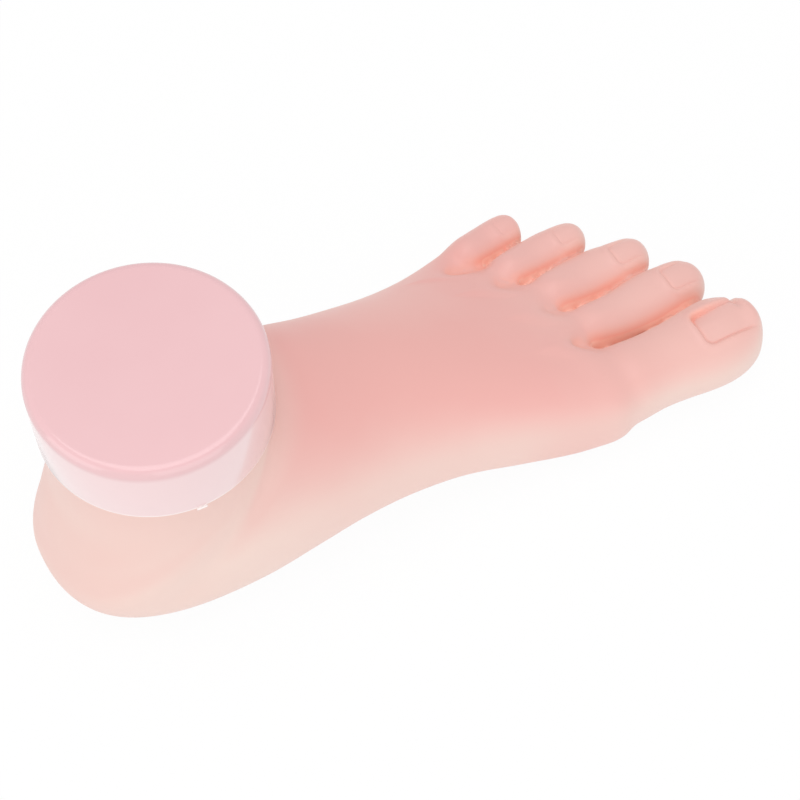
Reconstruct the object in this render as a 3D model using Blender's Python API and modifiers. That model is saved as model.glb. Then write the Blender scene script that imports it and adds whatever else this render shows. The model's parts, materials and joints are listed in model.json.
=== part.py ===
# Practice foot for toenail work: a life-size left foot with a soft skin over a
# rigid core, five posable toes on friction hinges and a push-fit cap on the ankle.
# Metres, +Z up. X runs from the ankle axis to the toes, Y towards the little toe.
# The origin lies on the resting plane, under the ankle axis.

import math

import bmesh
import bpy
from mathutils import Matrix, Vector

for leftover in list(bpy.data.objects):
    bpy.data.objects.remove(leftover)

# Clearances
seat_gap = 0.0003
cap_gap = 0.0008
swing_gap = 0.0005
cut_overrun = 0.050
weld_distance = 0.00001

# Cap
cap_radius = 0.0325
cap_height = 0.0223
cap_wall = 0.0020
cap_roof = 0.0025
cap_edge = 0.0027
cap_rim_edge = 0.0005

# Foot
foot_height = 0.0880
toe_line_reach = 0.1280
heel_reach = 0.0420
toe_line_height = 0.0222
half_ball_width = 0.0425
shoulder_drop = 0.0014
skin_wall = 0.0040
core_gap = 0.0004
ridge_offset = 0.0100
arch_rise = 0.0120
toe_line_bulge = 0.0060
toe_line_fall = 0.0035
toe_line_slant_share = 0.32

# Ankle plate, its screws and the grip ring
plate_lip = 0.0008
ring_tube = 0.0010
plate_headroom = 0.0009
plug_depth = 0.0030
screw_radius = 0.0015
screw_length = 0.0120
screw_head_radius = 0.0028
screw_head_height = 0.0017
screw_circle = 0.0170
screw_count = 3
screw_sink = 0.0003
drive_radius = 0.0013
drive_depth = 0.0010

# Toes, one value each from the big toe to the little toe: hinges ahead of the toe
# line, and their offsets and half widths as shares of half the ball's width
toe_names = ("1", "2", "3", "4", "5")
toe_hinge_leads = (0.0090, 0.0080, 0.0045, -0.0030, -0.0115)
toe_offset_shares = (-0.642, -0.146, 0.230, 0.558, 0.849)
toe_width_shares = (0.290, 0.186, 0.179, 0.151, 0.149)
toe_turns = tuple(math.radians(turn) for turn in (1.8, 4.5, 6.4, 9.0, 11.0))
toe_lengths = (0.0451, 0.0408, 0.0346, 0.0278, 0.0192)
toe_root_radii = (0.0122, 0.0104, 0.0098, 0.0092, 0.0084)
toe_slim_shares = (0.98, 0.88, 0.84, 0.85, 0.89)
toe_ground_gap = 0.0009

# Toe motion
toe_lift = math.radians(30)
toe_drop = math.radians(15)
swing_margin = math.radians(4)

# Toe hinge and bone, as shares of the toe's half width or of its length
fork_share = 0.55
eye_share = 0.22
ear_radius_share = 0.42
eye_radius_share = 0.39
pin_radius_share = 0.16
bone_length_share = 0.66
bone_tip_share = 0.60
bar_share = 0.80
fork_tail = 0.0012
bone_neck_turn = math.radians(42)

# Where the core's toe bars start, as shares of the toe line's place
anchor_reach_share = 0.76
anchor_offset_share = 0.68
hollow_start_share = 0.10

# Nail bed, as shares of the toe's length, half width and root radius
nail_start_shares = (0.53, 0.68, 0.64, 0.63, 0.58)
nail_width_shares = (0.48, 0.53, 0.52, 0.52, 0.48)
nail_top_share = 0.94
nail_depth_share = 0.17
nail_slope_share = 0.16
nail_slot_depth = 0.0018
nail_slot_height = 0.0008

# Powers of the sections' rounded outlines
section_power = 2.15
sole_power = 3.4
ankle_power = 2.0
toe_heel_power = 0.2

# Facets
foot_ring_points = 32
foot_ring_count = 34
hollow_ring_points = 24
hollow_ring_count = 20
toe_ring_points = 18
toe_heel_rings = 4
turned_steps = 48
pin_steps = 16
socket_steps = 14
ring_sides = 8
edge_steps = 6

# Sections of the forefoot, from the toe line back to the ankle axis, as shares.
# Top along and rise, sole along and rise, medial and lateral, widest height,
# arch, slant, bulge, ridge
forefoot_shares = (
    (0.000, -0.03, 0.000, 0.015, 0.920, 0.995, 0.40, 0.00, 1.00, 1.0, 1.5),
    (0.100, 0.07, 0.078, 0.004, 0.945, 0.950, 0.38, 0.00, 0.95, 0.9, 1.4),
    (0.225, 0.19, 0.172, -0.010, 0.925, 0.880, 0.36, 0.00, 0.75, 0.6, 1.2),
    (0.370, 0.33, 0.280, -0.008, 0.858, 0.800, 0.36, 0.30, 0.45, 0.3, 0.9),
    (0.520, 0.48, 0.400, 0.015, 0.803, 0.725, 0.38, 0.80, 0.20, 0.1, 0.6),
    (0.665, 0.64, 0.530, 0.030, 0.798, 0.672, 0.40, 1.00, 0.08, 0.0, 0.35),
    (0.780, 0.78, 0.650, 0.030, 0.820, 0.638, 0.42, 0.85, 0.00, 0.0, 0.15),
    (0.870, 0.90, 0.770, 0.015, 0.840, 0.640, 0.42, 0.45, 0.00, 0.0, 0.0),
    (0.935, 0.97, 0.930, -0.010, 0.865, 0.660, 0.40, 0.10, 0.00, 0.0, 0.0),
)

# Sections round the heel, turning up to the ankle, as shares: top along and
# rise, back base, flare and rise, medial and lateral flare, widest height,
# squareness of the lower half
heel_shares = (
    (0.972, 0.990, 0.50, 0.00, -0.010, 0.56, -0.10, 0.40, 0.8),
    (0.994, 0.995, 1.00, 0.30, 0.015, 0.37, -0.18, 0.42, 0.3),
    (1.000, 1.050, 1.00, 0.94, 0.180, 0.30, -0.30, 0.44, 0.2),
    (1.000, 1.080, 1.00, 0.78, 0.400, 0.18, -0.30, 0.48, 0.0),
    (1.000, 1.110, 1.00, 0.34, 0.640, 0.08, -0.18, 0.50, 0.0),
    (1.000, 1.130, 1.00, 0.12, 0.850, 0.02, -0.06, 0.50, 0.0),
    (1.000, 1.150, 1.00, 0.00, 0.985, 0.00, -0.01, 0.50, 0.0),
)

# Toe form from the hinge to the tip: place, width, top and underside shares
toe_shares = (
    (0.00, 1.00, 1.00, 1.00),
    (0.15, 0.98, 0.97, 0.95),
    (0.30, 0.97, 0.95, 0.90),
    (0.45, 0.98, 0.95, 0.93),
    (0.60, 1.01, 0.94, 0.98),
    (0.72, 1.01, 0.92, 0.99),
    (0.82, 0.97, 0.87, 0.94),
    (0.90, 0.87, 0.76, 0.82),
    (0.96, 0.65, 0.56, 0.60),
    (0.99, 0.39, 0.32, 0.34),
)
toe_tip_share = 0.10
toe_swell_shares = (0.08, 0.07, 0.03, 0.03, 0.02)
swell_start_share = 0.10
slim_end_share = 0.35
toe_droop_share = 0.14

# Worked-out sizes
cap_bottom = foot_height - cap_height
cap_bore = cap_radius - cap_wall
ankle_radius = cap_bore - cap_gap
shoulder_height = cap_bottom - shoulder_drop
plate_top = foot_height - cap_roof - plate_headroom
flange_height = 2 * (plate_lip + ring_tube + seat_gap)
ankle_top = plate_top - flange_height - seat_gap
core_top = ankle_top - plug_depth
ankle_bore = ankle_radius - skin_wall
plate_radius = cap_bore - cap_gap
ring_radius = cap_bore - seat_gap - ring_tube
groove_radius = ring_radius - ring_tube - seat_gap
flange_bottom = ankle_top + seat_gap
plug_bottom = core_top + seat_gap
plug_radius = ankle_bore * math.cos(math.pi / hollow_ring_points) - seat_gap
plate_thickness = plate_top - plug_bottom
neck_height = (shoulder_height + ankle_top) / 2
toe_hinge_reaches = [toe_line_reach + lead for lead in toe_hinge_leads]
toe_hinge_offsets = [share * half_ball_width for share in toe_offset_shares]
toe_half_widths = [share * half_ball_width for share in toe_width_shares]

# Materials
skin_pink = (0.86, 0.56, 0.49)
cap_pink = (0.88, 0.60, 0.62)
core_white = (0.80, 0.78, 0.74)
steel_grey = (0.60, 0.61, 0.63)
ring_grey = (0.35, 0.33, 0.33)

model = bpy.data.collections.new("toenail_training_foot")
cutters = bpy.data.collections.new("cutters")
bpy.context.scene.collection.children.link(model)
bpy.context.scene.collection.children.link(cutters)


def material(name, colour, roughness, metallic=0.0):
    finish = bpy.data.materials.new(name)
    finish.use_nodes = True
    shader = finish.node_tree.nodes["Principled BSDF"]
    shader.inputs["Base Color"].default_value = (*colour, 1.0)
    shader.inputs["Roughness"].default_value = roughness
    shader.inputs["Metallic"].default_value = metallic
    finish.diffuse_color = (*colour, 1.0)
    return finish


def add_object(name, mesh, collection, place=None):
    made = bpy.data.objects.new(name, mesh)
    collection.objects.link(made)
    if place is not None:
        made.matrix_world = place
    return made


def finish_part(part, look, sharp=math.radians(38)):
    part.data.materials.clear()
    part.data.materials.append(material(part.name + "_finish", *look))
    part.data.shade_smooth()
    part.data.set_sharp_from_angle(angle=sharp)


def as_cutter(tool):
    tool.hide_render = True
    tool.display_type = 'WIRE'


def combine(part, tool, operation='DIFFERENCE'):
    as_cutter(tool)
    step = part.modifiers.new(operation.lower() + "_" + tool.name, 'BOOLEAN')
    step.operation = operation
    step.solver = 'EXACT'
    step.object = tool


def smooth_row(rows, place):
    # Catmull-Rom between rows of numbers
    last = len(rows) - 1
    place = min(max(place, 0.0), float(last))
    low = min(int(place), last - 1)
    t = place - low
    a, b, c, d = (rows[min(max(low + k, 0), last)] for k in (-1, 0, 1, 2))
    return [
        0.5 * (2 * q + (r - p) * t + (2 * p - 5 * q + 4 * r - s) * t * t
               + (3 * q - p - 3 * r + s) * t ** 3)
        for p, q, r, s in zip(a, b, c, d)
    ]


def loft(name, rings, collection, place=None):
    # Skin over a row of rings with the same number of points, closed by fans
    bm = bmesh.new()
    loops = [[bm.verts.new(point) for point in ring] for ring in rings]
    count = len(loops[0])
    for near, far in zip(loops, loops[1:]):
        for k in range(count):
            m = (k + 1) % count
            bm.faces.new((near[k], near[m], far[m], far[k]))
    for ring in (loops[0], loops[-1]):
        middle = bm.verts.new(sum((vert.co for vert in ring), Vector()) / count)
        for k in range(count):
            bm.faces.new((ring[k], ring[(k + 1) % count], middle))
    bmesh.ops.recalc_face_normals(bm, faces=bm.faces)
    mesh = bpy.data.meshes.new(name)
    bm.to_mesh(mesh)
    bm.free()
    return add_object(name, mesh, collection, place)


def prism(name, outline, half_depth, collection, place):
    # A closed outline in X and Z, given a depth across Y
    bm = bmesh.new()
    sides = [[bm.verts.new((x, y, z)) for x, z in outline] for y in (-half_depth, half_depth)]
    count = len(outline)
    for side in sides:
        bm.faces.new(side)
    for k in range(count):
        m = (k + 1) % count
        bm.faces.new((sides[0][k], sides[0][m], sides[1][m], sides[1][k]))
    bmesh.ops.recalc_face_normals(bm, faces=bm.faces)
    mesh = bpy.data.meshes.new(name)
    bm.to_mesh(mesh)
    bm.free()
    return add_object(name, mesh, collection, place)


def turned(name, profile, collection, steps=turned_steps, place=None):
    # A closed profile of (radius, height) turned about Z with a Screw modifier
    bm = bmesh.new()
    verts = [bm.verts.new((radius, 0, height)) for radius, height in profile]
    for a, b in zip(verts, verts[1:]):
        bm.edges.new((a, b))
    if profile[0][0] > 0 or profile[-1][0] > 0:
        bm.edges.new((verts[-1], verts[0]))
    mesh = bpy.data.meshes.new(name)
    bm.to_mesh(mesh)
    bm.free()
    made = add_object(name, mesh, collection, place)
    turn = made.modifiers.new("turn", 'SCREW')
    turn.steps = steps
    turn.render_steps = steps
    turn.use_merge_vertices = True
    turn.merge_threshold = weld_distance
    turn.use_normal_calculate = True
    return made


def arc(centre, radius, start, end, steps):
    return [
        (centre[0] + radius * math.cos(start + (end - start) * k / steps),
         centre[1] + radius * math.sin(start + (end - start) * k / steps))
        for k in range(steps + 1)
    ]


def foot_rows():
    # The rows of the foot's form, in real sizes, from the toe line to the ankle's top
    rows = []
    dorsum_run = ankle_radius - toe_line_reach
    dorsum_climb = shoulder_height - toe_line_height
    for share in forefoot_shares:
        along, rise, sole_along, sole_rise, medial, lateral, widest = share[:7]
        arch, slant, bulge, ridge = share[7:]
        rows.append((
            toe_line_reach + along * dorsum_run, toe_line_height + rise * dorsum_climb,
            toe_line_reach * (1 - sole_along), sole_rise * shoulder_height,
            medial * half_ball_width, lateral * half_ball_width, widest,
            arch * arch_rise, slant * toe_line_slant_share, bulge * toe_line_bulge,
            ridge * ridge_offset, slant * toe_line_fall, sole_power))
    heel_flare = heel_reach - ankle_radius
    for along, rise, base, flare, back_rise, medial, lateral, widest, square in heel_shares:
        rows.append((
            toe_line_reach + along * dorsum_run, toe_line_height + rise * dorsum_climb,
            -base * ankle_radius - flare * heel_flare, back_rise * shoulder_height,
            ankle_radius + medial * heel_flare, ankle_radius + lateral * heel_flare,
            widest, 0.0, 0.0, 0.0, 0.0, 0.0,
            section_power + square * (sole_power - section_power)))
    for height in (neck_height, ankle_top):
        rows.append((
            ankle_radius, height, -ankle_radius, height, ankle_radius, ankle_radius,
            0.5, 0.0, 0.0, 0.0, 0.0, 0.0, ankle_power))
    return rows


def foot_ring(row, points, inset):
    # One section of the foot: two half outlines of rounded powers about its waist
    top_x, top_z, sole_x, sole_z, medial, lateral, widest = row[:7]
    arch, slant, bulge, ridge, fall, square = row[7:]
    span = math.hypot(top_x - sole_x, top_z - sole_z)
    lean = Vector(((top_x - sole_x) / span, 0, (top_z - sole_z) / span))
    waist = Vector((sole_x, 0, sole_z)) + lean * span * widest
    upper = span * (1 - widest) - inset
    lower = span * widest - inset
    round_power = min(square, section_power)
    ring = []
    for k in range(points):
        turn = 2 * math.pi * k / points
        power = 2 / (square if math.sin(turn) < 0 else round_power)
        across = math.copysign(abs(math.cos(turn)) ** power, math.cos(turn))
        up = math.copysign(abs(math.sin(turn)) ** power, math.sin(turn))
        y = across * ((lateral if across > 0 else medial) - inset)
        y -= ridge * max(up, 0) ** 2
        point = waist + lean * up * (upper if up > 0 else lower)
        point.y = y
        point.x += bulge * (1 - across ** 2) - slant * y
        point.z += arch * max(-up, 0) * max(-across, 0) ** 2 - fall * max(up, 0) * across
        if not inset:
            point.z = max(point.z, 0)
        ring.append(point)
    return ring


def foot_form(name, collection, points, count, inset=0.0, start_share=0.0, top=ankle_top, skip=0):
    # The foot's form, set in by a wall, from a place near the toes to a flat top
    rows = foot_rows()
    last = len(rows) - 1
    rings = []
    for k in range(skip, count):
        place = (last - 1) * (start_share + (1 - start_share) * k / (count - 1))
        rings.append(foot_ring(smooth_row(rows, place), points, inset))
    final = list(rows[last])
    final[1] = final[3] = top
    rings.append(foot_ring(final, points, inset))
    return loft(name, rings, collection)


def toe_place(index):
    # The toe's own axes: origin at its hinge, X along the toe, Y along the pin
    height = toe_root_radii[index] + toe_ground_gap
    spot = Matrix.Translation((toe_hinge_reaches[index], toe_hinge_offsets[index], height))
    return spot @ Matrix.Rotation(toe_turns[index], 4, 'Z')


def toe_ring(length, width, top, under, middle, points):
    # One section of a toe, square to its length
    ring = []
    for k in range(points):
        turn = 2 * math.pi * k / points
        power = 2 / section_power
        across = math.copysign(abs(math.cos(turn)) ** power, math.cos(turn))
        up = math.copysign(abs(math.sin(turn)) ** power, math.sin(turn))
        ring.append(Vector((length, across * width, middle + up * (top if up > 0 else under))))
    return ring


def toe_sink(index, share):
    # How far the toe's slimmer front lies below the height of its round root
    slimming = (1 - toe_slim_shares[index]) * min(share / slim_end_share, 1)
    return toe_root_radii[index] * slimming


def toe_form(name, index, collection):
    # A round root about the hinge, then sections to the tip
    radius = toe_root_radii[index]
    width = toe_half_widths[index]
    length = toe_lengths[index]
    rings = []
    for k in range(toe_heel_rings):
        turn = math.pi / 2 * (k + 1) / (toe_heel_rings + 1)
        half = radius * math.sin(turn)
        rings.append(toe_ring(
            -radius * math.cos(turn), width * math.sin(turn) ** toe_heel_power,
            half, half, 0, toe_ring_points))
    for share, wide, top, under in toe_shares:
        swell = math.sin(math.pi * max(share - swell_start_share, 0) / (1 - swell_start_share))
        wide *= 1 + toe_swell_shares[index] * swell
        sink = toe_sink(index, share)
        droop = toe_droop_share * radius * share ** 2
        rings.append(toe_ring(
            share * length, wide * width, top * (radius - sink) + droop,
            under * (radius - sink) - droop, -sink - droop, toe_ring_points))
    rings.append(toe_ring(
        length, toe_tip_share * width, toe_tip_share * radius, toe_tip_share * radius,
        -toe_sink(index, 1) - toe_droop_share * radius, toe_ring_points))
    return loft(name, rings, collection, toe_place(index))


def lane_sides(index):
    # A toe's lane reaches halfway to its neighbours, and past the foot's side
    sides = []
    for step in (-1, 1):
        other = index + step
        if 0 <= other < len(toe_names):
            apart = abs(toe_hinge_offsets[other] - toe_hinge_offsets[index])
            gap = apart - toe_half_widths[other] - toe_half_widths[index]
            sides.append(step * (toe_half_widths[index] + gap / 2 + seat_gap))
        else:
            sides.append(step * cut_overrun)
    return sides


def ray(turn, length, start=(0, 0)):
    return (start[0] + math.cos(turn) * length, start[1] + math.sin(turn) * length)


def toe_socket(index):
    # All that the swinging toe needs free of the foot's skin, across its lane
    radius = toe_root_radii[index] + swing_gap
    upper = math.pi / 2 + toe_lift + swing_margin
    lower = 3 * math.pi / 2 - toe_drop - swing_margin
    outline = arc((0, 0), radius, upper, lower, socket_steps)
    outline += [ray(lower, cut_overrun), (cut_overrun, -cut_overrun)]
    outline += [(cut_overrun, cut_overrun), ray(upper, cut_overrun)]
    near, far = lane_sides(index)
    place = toe_place(index) @ Matrix.Translation((0, (near + far) / 2, 0))
    name = "socket_" + toe_names[index]
    return prism(name, outline, (far - near) / 2, cutters, place)


def toe_chamber(index):
    # The space in the toe's rear that lets the fork swing
    radius = toe_half_widths[index] * ear_radius_share + swing_gap
    start = -math.pi / 2 + toe_drop + swing_margin
    end = math.pi / 2 - toe_lift - swing_margin
    outline = arc((0, 0), radius, start, end, socket_steps)
    outline.append(ray(end + math.pi / 2, cut_overrun, outline[-1]))
    outline.append(ray(start - math.pi / 2, cut_overrun, outline[0]))
    depth = toe_half_widths[index] * fork_share + swing_gap
    return prism("chamber_" + toe_names[index], outline, depth, cutters, toe_place(index))


def bone_outline(index, gap=0.0):
    # A flat link: an eye round the pin and a bar that tapers to a round tip
    eye = toe_half_widths[index] * eye_radius_share
    length = toe_lengths[index] * bone_length_share
    neck = eye * math.sin(bone_neck_turn) + gap
    tip = eye * math.sin(bone_neck_turn) * bone_tip_share + gap
    outline = arc((0, 0), eye + gap, bone_neck_turn, 2 * math.pi - bone_neck_turn, pin_steps)
    outline[0] = (outline[0][0], neck)
    outline[-1] = (outline[-1][0], -neck)
    outline += arc((length - tip + gap, 0), tip, -math.pi / 2, math.pi / 2, pin_steps // 2)
    return outline


def cross_pin(name, index, radius, half_length, collection, steps=pin_steps):
    # A cylinder along the toe's hinge axis
    outline = arc((0, 0), radius, 0, 2 * math.pi, steps)[:-1]
    return prism(name, outline, half_length, collection, toe_place(index))


def nail_bed(index):
    # The bed that a nail tip lies on, with the slot under the skin fold behind it
    start = toe_lengths[index] * nail_start_shares[index]
    sink = toe_sink(index, nail_start_shares[index])
    floor = ((toe_root_radii[index] - sink) * nail_top_share - sink
             - toe_half_widths[index] * nail_depth_share)
    end = toe_lengths[index] + cut_overrun
    drop = (end - start) * nail_slope_share
    outline = [
        (start - nail_slot_depth, floor), (end, floor - drop), (end, cut_overrun),
        (start, cut_overrun), (start, floor + nail_slot_height),
        (start - nail_slot_depth, floor + nail_slot_height),
    ]
    depth = toe_half_widths[index] * nail_width_shares[index]
    return prism("nail_bed_" + toe_names[index], outline, depth, cutters, toe_place(index))


def fork_block(name, index, gap, collection):
    # The straight part of a toe's fork, from its round ears to behind the socket
    ear = toe_half_widths[index] * ear_radius_share + gap
    tail = toe_root_radii[index] + swing_gap + fork_tail + gap
    outline = arc((0, 0), ear, -math.pi / 2, math.pi / 2, pin_steps // 2)
    outline += [(-tail, ear), (-tail, -ear)]
    depth = toe_half_widths[index] * fork_share + gap
    return prism(name, outline, depth, collection, toe_place(index))


def toe_bar(name, index, gap, collection):
    # The bar from the core to a toe's fork
    ear = toe_half_widths[index] * ear_radius_share * bar_share + gap
    tail = toe_root_radii[index] + swing_gap + fork_tail - toe_half_widths[index] * eye_share
    front = toe_place(index) @ Vector((-tail, 0, 0))
    anchor = Vector((
        toe_line_reach * anchor_reach_share,
        toe_hinge_offsets[index] * anchor_offset_share, front.z))
    run = anchor - front
    place = Matrix.Translation(front) @ Matrix.Rotation(math.atan2(run.y, run.x), 4, 'Z')
    outline = [(0, -ear), (run.length, -ear), (run.length, ear), (0, ear)]
    depth = toe_half_widths[index] * fork_share * bar_share + gap
    return prism(name, outline, depth, collection, place)


def core_fork(index):
    # Fork and bar as one solid, slotted for the bone's eye and bored for the pin
    label = toe_names[index]
    width = toe_half_widths[index]
    fork = fork_block("fork_" + label, index, 0, cutters)
    combine(fork, toe_bar("bar_" + label, index, 0, cutters), 'UNION')
    back = width * eye_radius_share + swing_gap
    outline = [
        (-back, -cut_overrun), (cut_overrun, -cut_overrun),
        (cut_overrun, cut_overrun), (-back, cut_overrun),
    ]
    depth = width * eye_share + seat_gap
    combine(fork, prism("fork_slot_" + label, outline, depth, cutters, toe_place(index)))
    bore = width * pin_radius_share + seat_gap
    combine(fork, cross_pin("fork_bore_" + label, index, bore, width, cutters))
    return fork


def make_foot():
    skin = foot_form("foot_skin", model, foot_ring_points, foot_ring_count)
    hollow = foot_form(
        "skin_hollow", cutters, hollow_ring_points, hollow_ring_count, skin_wall,
        hollow_start_share, ankle_top + cut_overrun)
    core = foot_form(
        "foot_core", model, hollow_ring_points, hollow_ring_count, skin_wall + core_gap,
        hollow_start_share, core_top, 1)
    combine(skin, hollow)
    for index, label in enumerate(toe_names):
        combine(skin, toe_socket(index))
        combine(skin, fork_block("window_" + label, index, seat_gap, cutters))
        combine(skin, toe_bar("bar_way_" + label, index, seat_gap, cutters))
        combine(core, core_fork(index), 'UNION')
    for number in range(screw_count):
        depth = screw_length - (plate_thickness - screw_head_height - screw_sink) + seat_gap
        combine(core, upright(
            "core_bore_" + str(number + 1), number, screw_radius + seat_gap,
            core_top - depth, core_top + cut_overrun))
    finish_part(skin, (skin_pink, 0.42))
    finish_part(core, (core_white, 0.55))


def make_toes():
    for index, label in enumerate(toe_names):
        width = toe_half_widths[index]
        skin = toe_form("toe_skin_" + label, index, model)
        slot = prism(
            "bone_way_" + label, bone_outline(index, seat_gap), width * eye_share + seat_gap,
            cutters, toe_place(index))
        combine(skin, toe_chamber(index))
        combine(skin, slot)
        combine(skin, nail_bed(index))
        bone = prism(
            "toe_bone_" + label, bone_outline(index), width * eye_share, model,
            toe_place(index))
        bore = width * pin_radius_share + seat_gap
        combine(bone, cross_pin("bone_bore_" + label, index, bore, width, cutters))
        pin = cross_pin(
            "toe_pin_" + label, index, width * pin_radius_share,
            width * fork_share - seat_gap, model)
        finish_part(skin, (skin_pink, 0.42))
        finish_part(bone, (core_white, 0.50))
        finish_part(pin, (steel_grey, 0.30, 1.0))


def upright(name, number, radius, low, high, collection=cutters, steps=pin_steps):
    # A plain upright cylinder on the screw circle
    turn = 2 * math.pi * number / screw_count
    spot = (math.cos(turn) * screw_circle, math.sin(turn) * screw_circle, (low + high) / 2)
    bm = bmesh.new()
    bmesh.ops.create_cone(
        bm, cap_ends=True, segments=steps, radius1=radius, radius2=radius, depth=high - low)
    mesh = bpy.data.meshes.new(name)
    bm.to_mesh(mesh)
    bm.free()
    return add_object(name, mesh, collection, Matrix.Translation(spot))


def make_ankle():
    profile = [
        (0, plate_top), (plate_radius, plate_top), (plate_radius, plate_top - plate_lip),
        (groove_radius, plate_top - plate_lip), (groove_radius, flange_bottom + plate_lip),
        (plate_radius, flange_bottom + plate_lip), (plate_radius, flange_bottom),
        (plug_radius, flange_bottom), (plug_radius, plug_bottom), (0, plug_bottom),
    ]
    plate = turned("ankle_plate", profile, model)
    head_top = plate_top - screw_sink
    head_bottom = head_top - screw_head_height
    for number in range(screw_count):
        label = str(number + 1)
        combine(plate, upright(
            "plate_bore_" + label, number, screw_radius + seat_gap,
            plug_bottom - cut_overrun, head_top))
        combine(plate, upright(
            "plate_recess_" + label, number, screw_head_radius + seat_gap,
            head_bottom - seat_gap, plate_top + cut_overrun))
        turn = 2 * math.pi * number / screw_count
        place = Matrix.Translation(
            (math.cos(turn) * screw_circle, math.sin(turn) * screw_circle, 0))
        screw = turned("plate_screw_" + label, [
            (0, head_top), (screw_head_radius, head_top), (screw_head_radius, head_bottom),
            (screw_radius, head_bottom), (screw_radius, head_bottom - screw_length),
            (0, head_bottom - screw_length),
        ], model, pin_steps, place)
        combine(screw, upright(
            "drive_" + label, number, drive_radius, head_top - drive_depth,
            head_top + cut_overrun, steps=6))
        finish_part(screw, (steel_grey, 0.30, 1.0))
    finish_part(plate, (core_white, 0.45))

    bpy.ops.mesh.primitive_torus_add(
        major_radius=ring_radius, minor_radius=ring_tube, major_segments=turned_steps,
        minor_segments=ring_sides, location=(0, 0, (plate_top + flange_bottom) / 2))
    ring = bpy.context.object
    ring.name = ring.data.name = "cap_grip_ring"
    for holder in list(ring.users_collection):
        holder.objects.unlink(ring)
    model.objects.link(ring)
    finish_part(ring, (ring_grey, 0.60))


def make_cap():
    roof = foot_height - cap_roof
    edge = arc((cap_radius - cap_edge, foot_height - cap_edge), cap_edge,
               math.pi / 2, 0, edge_steps)
    rim = arc((cap_radius - cap_rim_edge, cap_bottom + cap_rim_edge), cap_rim_edge,
              0, -math.pi / 2, edge_steps // 2)
    profile = [(0, foot_height)] + edge + rim
    profile += [(cap_bore, cap_bottom), (cap_bore, roof), (0, roof)]
    cap = turned("ankle_cap", profile, model)
    finish_part(cap, (cap_pink, 0.22))


make_foot()
make_toes()
make_ankle()
make_cap()
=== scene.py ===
import json
import math

import bmesh
import bpy
from mathutils import Matrix, Vector
from mathutils.bvhtree import BVHTree


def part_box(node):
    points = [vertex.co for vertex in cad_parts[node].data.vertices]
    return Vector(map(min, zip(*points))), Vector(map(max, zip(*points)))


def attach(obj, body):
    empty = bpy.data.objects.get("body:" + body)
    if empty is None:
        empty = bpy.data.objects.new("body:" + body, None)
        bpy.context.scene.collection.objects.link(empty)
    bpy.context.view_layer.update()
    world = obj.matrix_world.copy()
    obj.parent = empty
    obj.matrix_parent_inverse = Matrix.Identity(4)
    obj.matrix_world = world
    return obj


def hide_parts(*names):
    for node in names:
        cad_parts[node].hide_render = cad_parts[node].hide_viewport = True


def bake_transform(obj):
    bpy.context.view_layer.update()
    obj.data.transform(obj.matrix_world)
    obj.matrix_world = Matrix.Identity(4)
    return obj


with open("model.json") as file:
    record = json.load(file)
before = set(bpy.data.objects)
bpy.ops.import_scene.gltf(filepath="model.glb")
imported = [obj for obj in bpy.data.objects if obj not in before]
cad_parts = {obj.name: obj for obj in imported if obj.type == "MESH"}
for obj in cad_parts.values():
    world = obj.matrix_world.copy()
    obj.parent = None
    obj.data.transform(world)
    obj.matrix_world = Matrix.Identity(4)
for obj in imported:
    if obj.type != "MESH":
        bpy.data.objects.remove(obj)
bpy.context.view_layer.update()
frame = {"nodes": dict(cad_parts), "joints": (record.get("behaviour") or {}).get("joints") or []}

mm = 0.001
toeBodies = ["big_toe", "second_toe", "third_toe", "fourth_toe", "little_toe"]
hinges = {joint["child"]: joint for joint in frame["joints"]}


# small helpers used by every piece

def pickOnly(*objects):
    if bpy.context.object and bpy.context.object.mode != 'OBJECT':
        bpy.ops.object.mode_set(mode='OBJECT')
    bpy.ops.object.select_all(action='DESELECT')
    for obj in objects:
        obj.select_set(True)
    if objects:
        bpy.context.view_layer.objects.active = objects[0]


def applyModifier(obj, kind, **values):
    pickOnly(obj)
    modifier = obj.modifiers.new(kind.lower(), kind)
    for key, value in values.items():
        setattr(modifier, key, value)
    bpy.ops.object.modifier_apply(modifier=modifier.name)


def editOnly(obj, kind, wanted):
    # leaves the object in edit mode with only the wanted faces or edges selected
    pickOnly(obj)
    bpy.ops.object.mode_set(mode='EDIT')
    bpy.ops.mesh.select_mode(type=kind)
    bpy.ops.mesh.select_all(action='DESELECT')
    bpy.ops.object.mode_set(mode='OBJECT')
    for part in obj.data.polygons if kind == 'FACE' else obj.data.edges:
        part.select = wanted(part)
    bpy.ops.object.mode_set(mode='EDIT')


def selectFaces(obj, wanted):
    editOnly(obj, 'FACE', wanted)


def selectEdges(obj, wanted):
    # wanted is a test on the places of an edge's two ends
    editOnly(obj, 'EDGE', lambda edge: wanted(*(obj.data.vertices[k].co for k in edge.vertices)))


def storeValues(obj, name, values):
    attribute = obj.data.attributes.new(name, 'FLOAT', 'POINT')
    attribute.data.foreach_set("value", values)


def smoothRow(rows, place):
    # Catmull-Rom between rows of numbers, so that the sections flow into each other
    last = len(rows) - 1
    place = min(max(place, 0.0), float(last))
    low = min(int(place), last - 1)
    t = place - low
    a, b, c, d = (rows[min(max(low + k, 0), last)] for k in (-1, 0, 1, 2))
    return [
        0.5 * (2 * q + (r - p) * t + (2 * p - 5 * q + 4 * r - s) * t * t
               + (3 * q - p - 3 * r + s) * t ** 3)
        for p, q, r, s in zip(a, b, c, d)
    ]


def fade(value, start, end):
    share = min(max((value - start) / (end - start), 0.0), 1.0)
    return share * share * (3 - 2 * share)


def bell(offset, width):
    return math.exp(-(offset / width) ** 2)


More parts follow.
